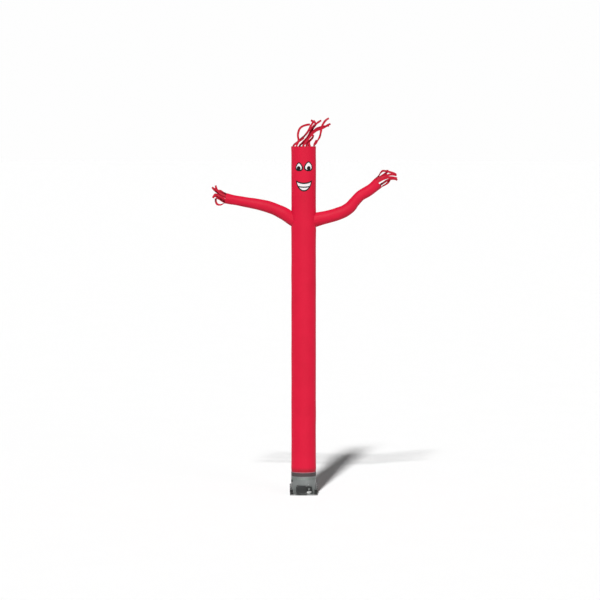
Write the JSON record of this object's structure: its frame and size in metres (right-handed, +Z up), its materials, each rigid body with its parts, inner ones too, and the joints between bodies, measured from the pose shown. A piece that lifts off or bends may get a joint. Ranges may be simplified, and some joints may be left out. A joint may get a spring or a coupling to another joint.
{
  "type": "inflatable air dancer on blower base",
  "caption": "Tall tube of red cloth with a smiling face, two waving sleeve arms and loose strips for hair and hands, held up by the air of the round blower that its foot is strapped to.",
  "frame": {"origin": "on the ground, under the middle of the blower's plate, on the tube's axis", "axes": "+Z up along the tube, +X to the right as the face is seen, -Y the way the face looks"},
  "size_m": [3.4632, 0.626, 7.0134],
  "materials": {
    "cloth": "thin red coated nylon",
    "strips": "loose red nylon strips",
    "face_white": "white nylon patch",
    "face_black": "black nylon patch",
    "strap": "woven dark strap",
    "drum_paint": "satin grey paint",
    "drum_plastic": "grey moulded plastic",
    "plate_paint": "darker grey paint",
    "dark_plastic": "black moulded plastic",
    "box_plastic": "dark grey moulded plastic",
    "rubber": "black rubber",
    "plaque": "plain white plate"
  },
  "bodies": {
    "root": {"body_tube": "cloth", "arm_left": "cloth", "arm_right": "cloth", "hair_fringe": "strips", "hand_fringe_left": "strips", "hand_fringe_right": "strips", "eye_backing_left": "face_black", "eye_backing_right": "face_black", "eye_white_left": "face_white", "eye_white_right": "face_white", "pupil_left": "face_black", "pupil_right": "face_black", "mouth_backing": "face_black", "teeth_upper": "face_white", "teeth_lower": "face_white", "base_strap": "strap", "blower_drum": "drum_paint", "power_inlet": "drum_plastic", "base_plate": "plate_paint", "bracket_left": "plate_paint", "bracket_right": "plate_paint", "side_lug": "dark_plastic", "inlet_box": "dark_plastic", "control_box": "box_plastic", "corner_block_front_left": "rubber", "corner_block_front_right": "rubber", "corner_block_back_left": "rubber", "corner_block_back_right": "rubber", "blank_plate": "plaque"}
  },
  "joints": []
}
